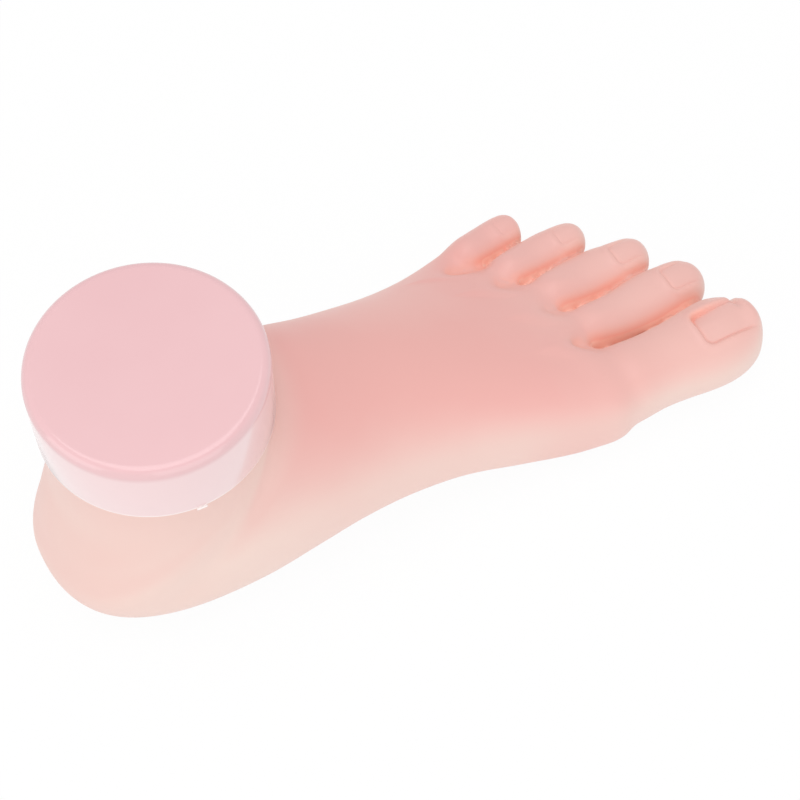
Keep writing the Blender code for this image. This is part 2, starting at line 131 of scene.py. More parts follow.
def rollTube(name, rings):
    # a grid is rolled up through the rings, its seam is merged and its ends are filled
    around, along = len(rings[0]), len(rings) - 1
    pickOnly()
    bpy.ops.mesh.primitive_grid_add(x_subdivisions=around, y_subdivisions=along, size=1)
    tube = bpy.context.object
    tube.name = name
    for vert in tube.data.vertices:
        column = round((vert.co.x + 0.5) * around) % around
        row = round((vert.co.y + 0.5) * along)
        vert.co = rings[row][column]
    bpy.ops.object.mode_set(mode='EDIT')
    bpy.ops.mesh.select_all(action='SELECT')
    bpy.ops.mesh.remove_doubles(threshold=0.001 * mm)
    bpy.ops.mesh.select_all(action='SELECT')
    bpy.ops.mesh.fill_holes(sides=0)
    bpy.ops.mesh.select_all(action='SELECT')
    bpy.ops.mesh.normals_make_consistent(inside=False)
    bpy.ops.object.mode_set(mode='OBJECT')
    return tube


# finishes

def newMaterial(name, roughness, **sockets):
    finish = bpy.data.materials.new(name)
    finish.use_nodes = True
    nodes, links = finish.node_tree.nodes, finish.node_tree.links
    shader = nodes["Principled BSDF"]
    shader.inputs["Roughness"].default_value = roughness
    for key, value in sockets.items():
        shader.inputs[key.replace("_", " ")].default_value = value
    place = nodes.new("ShaderNodeTexCoord")
    return finish, nodes, links, shader, place.outputs["Object"]


def addNoise(nodes, links, place, scale, detail=3.0, roughness=0.5):
    noise = nodes.new("ShaderNodeTexNoise")
    noise.inputs["Scale"].default_value = scale
    noise.inputs["Detail"].default_value = detail
    noise.inputs["Roughness"].default_value = roughness
    links.new(place, noise.inputs["Vector"])
    return noise.outputs["Fac"]


def addRange(nodes, links, source, low, high, newLow=0.0, newHigh=1.0):
    change = nodes.new("ShaderNodeMapRange")
    change.inputs["From Min"].default_value = low
    change.inputs["From Max"].default_value = high
    change.inputs["To Min"].default_value = newLow
    change.inputs["To Max"].default_value = newHigh
    links.new(source, change.inputs["Value"])
    return change.outputs["Result"]


def addDrift(nodes, links, place, scale, low=0.0, high=1.0, spread=0.15):
    # noise whose middle values are stretched to run from low to high
    noise = addNoise(nodes, links, place, scale)
    return addRange(nodes, links, noise, 0.5 - spread, 0.5 + spread, low, high)


def addMix(nodes, links, share, first, second):
    # first and second are colours or sockets
    mix = nodes.new("ShaderNodeMix")
    mix.data_type = 'RGBA'
    for name, value in (("A", first), ("B", second)):
        target = [socket for socket in mix.inputs if socket.name == name and socket.type == 'RGBA'][0]
        if isinstance(value, tuple):
            target.default_value = (*value, 1.0)
        else:
            links.new(value, target)
    links.new(share, mix.inputs["Factor"])
    return [socket for socket in mix.outputs if socket.type == 'RGBA'][0]


def addBump(nodes, links, shader, height, strength, distance=0.05 * mm):
    bump = nodes.new("ShaderNodeBump")
    bump.inputs["Strength"].default_value = strength
    bump.inputs["Distance"].default_value = distance
    links.new(height, bump.inputs["Height"])
    links.new(bump.outputs["Normal"], shader.inputs["Normal"])


def addAxes(nodes, links, place):
    axes = nodes.new("ShaderNodeSeparateXYZ")
    links.new(place, axes.inputs[0])
    return axes.outputs


def addStored(nodes, name):
    stored = nodes.new("ShaderNodeAttribute")
    stored.attribute_name = name
    return stored.outputs["Fac"]


def mouldedSkin():
    # darker near the cap as painted shade of the cap, redder over the instep, painted light that makes
    # the low sides and the heel paler, and painted shade with bounce light in warm tints where skin faces
    # skin
    look = {
        "ankle": (0.785, 0.405, 0.375), "dorsum": (0.840, 0.435, 0.400), "toes": (0.850, 0.495, 0.446),
        "pale": (0.862, 0.675, 0.605), "creaseShade": (0.985, 0.455, 0.355), "deepLight": (1.000, 0.620, 0.520),
        "capShadeSpan": (25 * mm, 70 * mm), "toeSpan": (110 * mm, 150 * mm), "deepLightSpan": (0.75, 1.0),
        "mottle": 0.05, "satin": (0.38, 0.46),
    }
    finish, nodes, links, shader, place = newMaterial("mouldedSkin", 0.42)
    along = addAxes(nodes, links, place)["X"]
    # painted shade of the cap: the skin near the cap is painted darker, and this fades out over the
    # instep
    outOfCapShade = addRange(nodes, links, along, *look["capShadeSpan"])
    colour = addMix(nodes, links, outOfCapShade, look["ankle"], look["dorsum"])
    toward = addRange(nodes, links, along, *look["toeSpan"])
    colour = addMix(nodes, links, toward, colour, look["toes"])
    # painted light: the stored share, with a little random tone, makes the skin pale where it would be
    # lit from the front and by the floor
    paintedPaleLight = addStored(nodes, "paintedPaleLight")
    mottle = addDrift(nodes, links, place, 28.0, -look["mottle"], look["mottle"])
    share = nodes.new("ShaderNodeMath")
    share.use_clamp = True
    links.new(paintedPaleLight, share.inputs[0])
    links.new(mottle, share.inputs[1])
    colour = addMix(nodes, links, share.outputs[0], colour, look["pale"])
    # painted shade and bounce light: skin that hides the sky from itself is painted a warm crease colour,
    # and the deepest creases a lighter warm colour as painted bounce light
    paintedCreaseShade = addStored(nodes, "paintedCreaseShade")
    colour = addMix(nodes, links, paintedCreaseShade, colour, look["creaseShade"])
    hidden = addRange(nodes, links, paintedCreaseShade, *look["deepLightSpan"])
    colour = addMix(nodes, links, hidden, colour, look["deepLight"])
    links.new(colour, shader.inputs["Base Color"])
    pores = addNoise(nodes, links, place, 1400.0, detail=2.0)
    addBump(nodes, links, shader, pores, 0.06)
    satin = addDrift(nodes, links, place, 60.0, *look["satin"], spread=0.2)
    links.new(satin, shader.inputs["Roughness"])
    return finish


def glossyPink():
    # the wall below the edge is painted paler as a painted reflection of the bright surroundings, the
    # rounded edge gets painted shade and the bottom rim a painted highlight
    look = {
        "pink": (0.795, 0.488, 0.508), "light": (0.815, 0.513, 0.531), "edge": (0.775, 0.505, 0.520),
        "wall": (0.840, 0.625, 0.632), "rim": (0.960, 0.860, 0.835),
        "wallReflectionFrom": 1.6 * mm, "wallReflectionFull": 3.4 * mm, "edgeShadeRun": 0.6 * mm, "rimHighlightRun": 0.35 * mm,
    }
    finish, nodes, links, shader, place = newMaterial(
        "glossyPink", 0.16, Coat_Weight=0.4, Coat_Roughness=0.08)
    drift = addDrift(nodes, links, place, 22.0)
    colour = addMix(nodes, links, drift, look["pink"], look["light"])
    height = addAxes(nodes, links, place)["Z"]
    low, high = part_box("ankle_cap")
    # painted shade: the rounded edge is painted a duller pink
    edgeShade = addRange(nodes, links, height, high.z, high.z + look["edgeShadeRun"], 1.0, 0.0)
    # painted reflection: the wall is paler below the rounded edge
    below = addRange(
        nodes, links, height, high.z - look["wallReflectionFull"], high.z - look["wallReflectionFrom"], 1.0, 0.0)
    # a painted highlight along the bottom rim
    rimHighlight = addRange(nodes, links, height, low.z, low.z + look["rimHighlightRun"], 1.0, 0.0)
    colour = addMix(nodes, links, edgeShade, colour, look["edge"])
    colour = addMix(nodes, links, below, colour, look["wall"])
    links.new(addMix(nodes, links, rimHighlight, colour, look["rim"]), shader.inputs["Base Color"])
    ripple = addNoise(nodes, links, place, 90.0, detail=1.0)
    addBump(nodes, links, shader, ripple, 0.02)
    return finish


def mouldedPlastic(name, pale, shade, roughness):
    finish, nodes, links, shader, place = newMaterial(name, roughness)
    drift = addDrift(nodes, links, place, 60.0)
    links.new(addMix(nodes, links, drift, pale, shade), shader.inputs["Base Color"])
    addBump(nodes, links, shader, addNoise(nodes, links, place, 1800.0), 0.15)
    return finish


def platedSteel():
    look = {"dull": (0.56, 0.57, 0.60), "bright": (0.66, 0.66, 0.67), "scuff": (0.24, 0.38)}
    finish, nodes, links, shader, place = newMaterial("platedSteel", 0.30, Metallic=1.0)
    drift = addDrift(nodes, links, place, 300.0)
    links.new(addMix(nodes, links, drift, look["dull"], look["bright"]), shader.inputs["Base Color"])
    scuff = addDrift(nodes, links, place, 900.0, *look["scuff"], spread=0.2)
    links.new(scuff, shader.inputs["Roughness"])
    return finish


def gripRubber():
    look = {"dark": (0.095, 0.085, 0.085), "dusty": (0.13, 0.12, 0.12)}
    finish, nodes, links, shader, place = newMaterial("gripRubber", 0.62)
    drift = addDrift(nodes, links, place, 200.0)
    links.new(addMix(nodes, links, drift, look["dark"], look["dusty"]), shader.inputs["Base Color"])
    addBump(nodes, links, shader, addNoise(nodes, links, place, 2200.0), 0.3)
    return finish


def dress(obj, finish):
    obj.data.materials.clear()
    obj.data.materials.append(finish)


# the foot's form: sections from the toe line over the instep and round the heel

foot = {
    "toeLineReach": 128 * mm, "toeLineHeight": 22.2 * mm, "halfBallWidth": 42.5 * mm,
    "heelReach": 42 * mm, "shoulderHeight": 64.3 * mm, "ankleRadius": 29.7 * mm,
    "ankleTop": 80.1 * mm, "neckHeight": 72.2 * mm, "ridgeOffset": 10 * mm,
    "archRise": 12 * mm, "bulge": 6 * mm, "fall": 3.5 * mm, "slant": 0.32,
    "power": 2.15, "solePower": 3.4, "anklePower": 2.0,
    "webSlope": 0.20, "slopeSpan": (-24 * mm, -18 * mm),
    "around": 96, "along": 110, "voxel": 0.75 * mm, "smoothing": 8,
    "recessRadius": 25.9 * mm, "recessFloor": 77.2 * mm, "recessNear": 0.5 * mm,
}

# top along, rise, sole along, rise, medial, lateral, widest, arch, slant, bulge, ridge
forefootShares = [
    (0.000, -0.03, 0.000, 0.015, 0.930, 0.985, 0.40, 0.00, 1.00, 1.0, 1.5),
    (0.100, 0.07, 0.078, 0.004, 0.953, 0.932, 0.38, 0.00, 0.95, 0.9, 1.4),
    (0.225, 0.19, 0.172, -0.010, 0.922, 0.872, 0.36, 0.00, 0.75, 0.6, 1.2),
    (0.370, 0.33, 0.280, -0.008, 0.848, 0.800, 0.36, 0.30, 0.45, 0.3, 0.9),
    (0.520, 0.48, 0.400, 0.015, 0.798, 0.725, 0.38, 0.80, 0.20, 0.1, 0.6),
    (0.665, 0.64, 0.530, 0.030, 0.798, 0.672, 0.40, 1.00, 0.08, 0.0, 0.35),
    (0.780, 0.78, 0.650, 0.030, 0.820, 0.628, 0.42, 0.85, 0.00, 0.0, 0.15),
    (0.870, 0.90, 0.770, 0.015, 0.840, 0.612, 0.42, 0.45, 0.00, 0.0, 0.0),
    (0.935, 0.97, 0.930, -0.010, 0.856, 0.620, 0.40, 0.10, 0.00, 0.0, 0.0),
]
# top along, rise, back base, flare, back rise, medial, lateral flare, widest, squareness
heelShares = [
    (0.972, 0.990, 0.50, 0.00, -0.010, 0.53, -0.20, 0.40, 0.8),
    (0.994, 0.995, 1.00, 0.35, 0.015, 0.40, -0.24, 0.42, 0.3),
    (1.000, 1.050, 1.00, 0.96, 0.180, 0.34, -0.44, 0.44, 0.1),
    (1.000, 1.080, 1.00, 0.70, 0.400, 0.18, -0.42, 0.48, 0.0),
    (1.000, 1.110, 1.00, 0.26, 0.640, 0.08, -0.26, 0.50, 0.0),
    (1.000, 1.130, 1.00, 0.06, 0.850, 0.02, -0.08, 0.50, 0.0),
    (1.000, 1.150, 1.00, 0.00, 0.985, 0.00, -0.01, 0.50, 0.0),
]
# the foot's front edge, across and along: forward at each toe and back at the webs between them
webPoints = [
    (-42 * mm, 131.0 * mm), (-27.3 * mm, 132.5 * mm), (-19.5 * mm, 131.5 * mm), (-14.2 * mm, 122.5 * mm),
    (-6.2 * mm, 132.5 * mm), (1.3 * mm, 121.5 * mm), (9.8 * mm, 128.5 * mm), (16.5 * mm, 112.5 * mm),
    (23.7 * mm, 120.0 * mm), (28.1 * mm, 101.0 * mm), (36 * mm, 111.5 * mm), (44 * mm, 109.0 * mm),
]


def webLine(y):
    for (yA, xA), (yB, xB) in zip(webPoints, webPoints[1:]):
        if y <= yB or (yB, xB) == webPoints[-1]:
            return xA + (xB - xA) * min(max((y - yA) / (yB - yA), 0.0), 1.0)


def footRows():
    rows = []
    run = foot["ankleRadius"] - foot["toeLineReach"]
    climb = foot["shoulderHeight"] - foot["toeLineHeight"]
    half = foot["halfBallWidth"]
    for row in forefootShares:
        along, rise, soleAlong, soleRise, medial, lateral, widest, arch, slant, bulge, ridge = row
        rows.append((
            foot["toeLineReach"] + along * run, foot["toeLineHeight"] + rise * climb,
            foot["toeLineReach"] * (1 - soleAlong), soleRise * foot["shoulderHeight"],
            medial * half, lateral * half, widest, arch * foot["archRise"],
            slant * foot["slant"], bulge * foot["bulge"], ridge * foot["ridgeOffset"],
            slant * foot["fall"], foot["solePower"]))
    flareRoom = foot["heelReach"] - foot["ankleRadius"]
    for along, rise, base, flare, backRise, medial, lateral, widest, square in heelShares:
        rows.append((
            foot["toeLineReach"] + along * run, foot["toeLineHeight"] + rise * climb,
            -base * foot["ankleRadius"] - flare * flareRoom, backRise * foot["shoulderHeight"],
            foot["ankleRadius"] + medial * flareRoom, foot["ankleRadius"] + lateral * flareRoom,
            widest, 0.0, 0.0, 0.0, 0.0, 0.0,
            foot["power"] + square * (foot["solePower"] - foot["power"])))
    for height in (foot["neckHeight"], foot["ankleTop"]):
        rows.append((
            foot["ankleRadius"], height, -foot["ankleRadius"], height, foot["ankleRadius"],
            foot["ankleRadius"], 0.5, 0.0, 0.0, 0.0, 0.0, 0.0, foot["anklePower"]))
    return rows


def roundedPower(value, power):
    return math.copysign(abs(value) ** (2 / power), value)


def footRing(row):
    topX, topZ, soleX, soleZ, medial, lateral, widest, arch, slant, bulge, ridge, fall, square = row
    span = math.hypot(topX - soleX, topZ - soleZ)
    lean = Vector(((topX - soleX) / span, 0, (topZ - soleZ) / span))
    waist = Vector((soleX, 0, soleZ)) + lean * span * widest
    ring = []
    for k in range(foot["around"]):
        turn = 2 * math.pi * k / foot["around"]
        power = square if math.sin(turn) < 0 else min(square, foot["power"])
        across = roundedPower(math.cos(turn), power)
        up = roundedPower(math.sin(turn), power)
        point = waist + lean * up * span * (1 - widest if up > 0 else widest)
        point.y = across * (lateral if across > 0 else medial) - ridge * max(up, 0) ** 2
        point.x += bulge * (1 - across ** 2) - slant * point.y
        point.z += arch * max(-up, 0) * max(-across, 0) ** 2 - fall * max(up, 0) * across
        point.z = max(point.z, 0)
        # below the toe line the front edge comes forward, except at the big toe's free side
        forward = foot["webSlope"] * (foot["toeLineHeight"] - point.z)
        point.x = min(point.x, webLine(point.y) + forward * fade(point.y, *foot["slopeSpan"]))
        ring.append(point)
    return ring


def makeFootForm():
    rows = footRows()
    last = len(rows) - 1
    rings = []
    for k in range(foot["along"]):
        rings.append(footRing(smoothRow(rows, last * k / (foot["along"] - 1))))
    return rollTube("footForm", rings)


# the toes: round roots on their hinges, slimmer bodies and full tips

# fullTips raise the end of a toe's top, and lowFlares widen its inner side low down at the root
toe = {
    "halfWidths": [12.33 * mm, 7.91 * mm, 7.61 * mm, 6.42 * mm, 6.33 * mm],
    "lengths": [45.5 * mm, 41.1 * mm, 34.6 * mm, 27.8 * mm, 19.2 * mm],
    "slims": [0.98, 0.88, 0.84, 0.85, 0.89], "swells": [0.08, 0.07, 0.03, 0.03, 0.02],
    "slimEnd": 0.35, "swellStart": 0.10, "droop": 0.14, "tip": 0.10, "heelPower": 0.2,
    "fullTips": [0.45, 0.05, 0.0, 0.0, 0.35], "fullSpan": (0.86, 1.0),
    "lowFlares": [0.0, 0.26, 0.0, 0.0, 0.0], "flareSpan": (6 * mm, 20 * mm), "flareLow": (-0.3, 0.6),
    "groundGap": 0.9 * mm, "heelRings": 6, "around": 72, "along": 90,
    "seamAhead": [-2.2 * mm, -2.0 * mm, -1.0 * mm, -1.0 * mm, -0.8 * mm], "cutReach": 4 * mm,
    "bendRun": [13 * mm, 11 * mm, 10 * mm, 9 * mm, 8 * mm],
    "widen": [0.010, 0.015, 0.020, 0.030, 0.02], "widenRun": 8 * mm,
    "liner": [3.0 * mm, 1.5 * mm, 1.2 * mm, 1.2 * mm, 1.2 * mm], "linerPaintedShade": 0.5,
}
# how far each toe's inner and outer side stand out, at quarters of its length
innerShares = [
    (0.94, 0.96, 1.01, 0.98, 0.85), (0.98, 1.08, 1.12, 1.02, 1.00), (0.98, 1.00, 1.00, 1.00, 0.93),
    (1.00, 1.00, 1.00, 0.97, 0.86), (0.98, 0.98, 0.98, 0.93, 0.88),
]
outerShares = [
    (0.95, 0.90, 0.91, 0.97, 0.82), (1.00, 1.02, 1.13, 1.03, 1.06), (1.02, 1.19, 1.12, 0.85, 0.88),
    (1.00, 1.15, 1.12, 0.91, 0.92), (0.92, 1.05, 1.04, 0.97, 1.06),
]
# place, width, top and underside, as shares of the length, half width and root radius
toeShares = [
    (0.00, 1.00, 1.00, 1.00), (0.15, 0.98, 0.97, 0.95), (0.30, 0.97, 0.95, 0.90),
    (0.45, 0.98, 0.95, 0.93), (0.60, 1.01, 0.94, 0.98), (0.72, 1.01, 0.92, 0.99),
    (0.82, 0.97, 0.87, 0.94), (0.90, 0.87, 0.76, 0.82), (0.96, 0.65, 0.56, 0.60),
    (0.99, 0.39, 0.32, 0.34),
]


def toePlace(index):
    # X along the toe and Y along its pin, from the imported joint
    joint = hinges[toeBodies[index]]
    across = -Vector(joint["axis"])
    turn = math.atan2(-across.x, across.y)
    return Matrix.Translation(Vector(joint["pos_m"])) @ Matrix.Rotation(turn, 4, 'Z')


def toeRing(index, length, width, top, under, middle):
    quarter = 4 * length / toe["lengths"][index]
    inner, outer = smoothRow(list(zip(innerShares[index], outerShares[index])), quarter)
    flare = toe["lowFlares"][index] * (1 - fade(length, *toe["flareSpan"]))
    ring = []
    for k in range(toe["around"]):
        turn = 2 * math.pi * k / toe["around"]
        across = roundedPower(math.cos(turn), foot["power"])
        up = roundedPower(math.sin(turn), foot["power"])
        across *= outer if across > 0 else inner * (1 + flare * fade(-up, *toe["flareLow"]))
        ring.append(Vector((length, across * width, middle + up * (top if up > 0 else under))))
    return ring


def makeToeForm(index):
    joint = hinges[toeBodies[index]]
    radius = joint["pos_m"][2] - toe["groundGap"]
    width, length = toe["halfWidths"][index], toe["lengths"][index]
    rows = []
    for k in range(toe["heelRings"]):
        turn = math.pi / 2 * (k + 1) / (toe["heelRings"] + 1)
        half = radius * math.sin(turn)
        rows.append((-radius * math.cos(turn), width * math.sin(turn) ** toe["heelPower"], half, half, 0))
    for share, wide, top, under in toeShares:
        swell = math.sin(math.pi * max(share - toe["swellStart"], 0) / (1 - toe["swellStart"]))
        wide *= 1 + toe["swells"][index] * swell
        top *= 1 + toe["fullTips"][index] * fade(share, *toe["fullSpan"])
        sink = radius * (1 - toe["slims"][index]) * min(share / toe["slimEnd"], 1)
        droop = toe["droop"] * radius * share ** 2
        rows.append((share * length, wide * width, top * (radius - sink) + droop,
                     under * (radius - sink) - droop, -sink - droop))
    tip = toe["tip"]
    rows.append((length, tip * width, tip * radius, tip * radius,
                 -radius * (1 - toe["slims"][index]) - toe["droop"] * radius))
    last = len(rows) - 1
    place = toePlace(index)
    rings = []
    for k in range(toe["along"]):
        ring = toeRing(index, *smoothRow(rows, last * k / (toe["along"] - 1)))
        rings.append([place @ point for point in ring])
    return rollTube("toeForm" + str(index + 1), rings)


# one moulded skin, made of the forms, then parted at the toes

def makeWholeSkin():
    forms = [makeFootForm()] + [makeToeForm(index) for index in range(len(toeBodies))]
    pickOnly(*forms)
    bpy.ops.object.join()
    skin = bpy.context.object
    applyModifier(skin, 'REMESH', mode='VOXEL', voxel_size=foot["voxel"], adaptivity=0.0)
    applyModifier(skin, 'SMOOTH', factor=0.5, iterations=foot["smoothing"])
    softenToeLine(skin)
    pickOnly(skin)
    bpy.ops.object.shade_smooth()
    print("whole skin:", len(skin.data.polygons), "faces")
    return skin


def softenToeLine(skin):
    # the toe roots flow into the foot: many smoothing steps round the line of webs, then a little
    # swelling that gives back what the smoothing took
    soft = {
        "reach": 4 * mm, "fade": 10 * mm, "steps": 130, "swell": 0.70 * mm,
        "lessFrom": 12 * mm, "lessTo": 30 * mm, "less": 0.40,
    }
    group = skin.vertex_groups.new(name="toeLine")
    for vert in skin.data.vertices:
        away = abs(vert.co.x - webLine(vert.co.y))
        weight = 1 - fade(away, soft["reach"], soft["reach"] + soft["fade"])
        weight *= 1 - soft["less"] * fade(vert.co.y, soft["lessFrom"], soft["lessTo"])
        if weight > 0:
            group.add([vert.index], weight, 'REPLACE')
    applyModifier(skin, 'SMOOTH', factor=0.5, iterations=soft["steps"], vertex_group="toeLine")
    applyModifier(skin, 'DISPLACE', strength=soft["swell"], mid_level=0.0, direction='NORMAL',
                  vertex_group="toeLine")
    skin.vertex_groups.clear()


def storePaintedCreaseShade(skin):
    # how much of the sky over each point is hidden by the skin close by, for the painted shade and bounce
    # light of the creases, and a little more of it painted into the pockets ahead of the webs
    warm = {
        "from": 100 * mm, "reach": 9 * mm, "lift": 0.15 * mm, "rays": 14, "gain": 2.4,
        "pocket": 0.15, "pocketAhead": 6 * mm, "pocketRun": 9 * mm, "pocketWidth": 4 * mm,
        "pocketShare": (0.01, 0.08),
    }
    tree = BVHTree.FromPolygons(
        [vert.co for vert in skin.data.vertices], [face.vertices for face in skin.data.polygons])
    # a fan of rays spread evenly over the half sky
    golden = math.pi * (3 - math.sqrt(5))
    fan = []
    for k in range(warm["rays"]):
        up = (k + 0.5) / warm["rays"]
        side = math.sqrt(1 - up * up)
        fan.append(Vector((math.cos(golden * k) * side, math.sin(golden * k) * side, up)))
    pockets = [(x + warm["pocketAhead"], y) for y, x in webPoints[3:10:2]]
    values = []
    for vert in skin.data.vertices:
        share = 0.0
        if vert.co.x > warm["from"]:
            turn = vert.normal.to_track_quat('Z', 'X')
            start = vert.co + vert.normal * warm["lift"]
            for ray in fan:
                distance = tree.ray_cast(start, turn @ ray, warm["reach"])[3]
                if distance is not None:
                    share += (1 - distance / warm["reach"]) * ray.z * 2 / warm["rays"]
        pocket = sum(bell(vert.co.x - x, warm["pocketRun"]) * bell(vert.co.y - y, warm["pocketWidth"])
                     for x, y in pockets)
        share += warm["pocket"] * min(pocket, 1.0) * fade(share, *warm["pocketShare"])
        values.append(min(share * warm["gain"], 1.0))
    storeValues(skin, "paintedCreaseShade", values)


def storePaintedLight(skin):
    # painted light: the soles, the heel and the sides that face sideways or down are painted paler than
    # the instep, as if lit from the front and by the floor, and the skin in front of the cap is painted
    # paler over the cap's shade
    pale = {
        "most": 0.72, "facing": (-0.97, -0.15), "heel": 0.65, "heelMore": 0.18,
        "heelSpan": (5 * mm, 45 * mm), "toeMore": 0.06, "toeSpan": (120 * mm, 145 * mm),
        "backLess": 0.18, "backSpan": (10 * mm, 40 * mm),
        "ball": 116 * mm, "ballReach": 16 * mm, "ballLess": 0.24,
        "capEdge": 33 * mm, "capReach": 5 * mm, "capPaintedLight": 0.30,
        "capFront": (10 * mm, 25 * mm), "capHeight": (40 * mm, 55 * mm),
        "kept": 0.75, "keptSpan": (30 * mm, 62 * mm),
    }
    values = []
    for vert in skin.data.vertices:
        x, z = vert.co.x, vert.co.z
        heel = 1 - fade(x, *pale["heelSpan"])
        most = pale["most"] + pale["heelMore"] * heel + pale["toeMore"] * fade(x, *pale["toeSpan"])
        most -= pale["backLess"] * fade(-x, *pale["backSpan"])
        most -= pale["ballLess"] * bell(x - pale["ball"], pale["ballReach"])
        # painted light on sides that face sideways or down, and on the heel whichever way it faces
        side = max(most * fade(-vert.normal.z, *pale["facing"]), pale["heel"] * heel)
        # painted light over the shade beside the front of the cap
        near = bell(vert.co.xy.length - pale["capEdge"], pale["capReach"])
        side += pale["capPaintedLight"] * near * fade(x, *pale["capFront"]) * fade(z, *pale["capHeight"])
        values.append(side * (1 - (1 - pale["kept"]) * fade(z, *pale["keptSpan"])))
    storeValues(skin, "paintedPaleLight", values)


def laneOf(point, inverses):
    # the toe whose middle line is nearest, counted in half widths of that toe
    offs = [abs((inverse @ point).y) / half for inverse, half in zip(inverses, toe["halfWidths"])]
    return offs.index(min(offs))


def partToes(skin):
    # each toe is cut off square to its length, close to its hinge and in front of the webs, and
    # where two toes touch, each face goes to the nearer one
    places = [toePlace(index) for index in range(len(toeBodies))]
    inverses = [place.inverted() for place in places]
    for index, (place, inverse) in enumerate(zip(places, inverses)):
        seam = toe["seamAhead"][index]
        selectFaces(skin, lambda face: abs((inverse @ face.center).x - seam) < toe["cutReach"]
                    and laneOf(face.center, inverses) == index)
        bpy.ops.mesh.bisect(plane_co=place @ Vector((seam, 0, 0)),
                            plane_no=place.to_3x3() @ Vector((1, 0, 0)))
        bpy.ops.object.mode_set(mode='OBJECT')
    normals = skin.data.attributes.new("wholeNormal", 'FLOAT_VECTOR', 'POINT')
    for vert, value in zip(skin.data.vertices, normals.data):
        value.vector = vert.normal
    toes = []
    for index, inverse in enumerate(inverses):
        seam = toe["seamAhead"][index]
        selectFaces(skin, lambda face: (inverse @ face.center).x > seam
                    and laneOf(face.center, inverses) == index)
        bpy.ops.mesh.separate(type='SELECTED')
        bpy.ops.object.mode_set(mode='OBJECT')
        part = [obj for obj in bpy.context.selected_objects if obj != skin][0]
        part.name = "toeSkin" + str(index + 1)
        toes.append(part)
    return toes


def widenToe(part, index):
    # the toes nearly touch along their lengths, so their sides move out a little ahead of the seams
    place = toePlace(index)
    inverse = place.inverted()
    seam = toe["seamAhead"][index]
    for vert in part.data.vertices:
        local = inverse @ vert.co
        local.y *= 1 + toe["widen"][index] * fade(local.x, seam, seam + toe["widenRun"])
        vert.co = place @ local


def lineToe(part, index):
    # where neighbouring toes touch, the skin is parted between them: a closed wall just inside
    # shows there when they bend
    liner = makeToeForm(index)
    inward = [vert.normal * toe["liner"][index] for vert in liner.data.vertices]
    for vert, move in zip(liner.data.vertices, inward):
        vert.co -= move
    while liner.data.uv_layers:
        liner.data.uv_layers.remove(liner.data.uv_layers[0])
    # painted crease shade over the whole inner wall
    storeValues(liner, "paintedCreaseShade", [toe["linerPaintedShade"]] * len(liner.data.vertices))
    pickOnly(part, liner)
    bpy.ops.object.join()
    bpy.ops.object.shade_smooth()


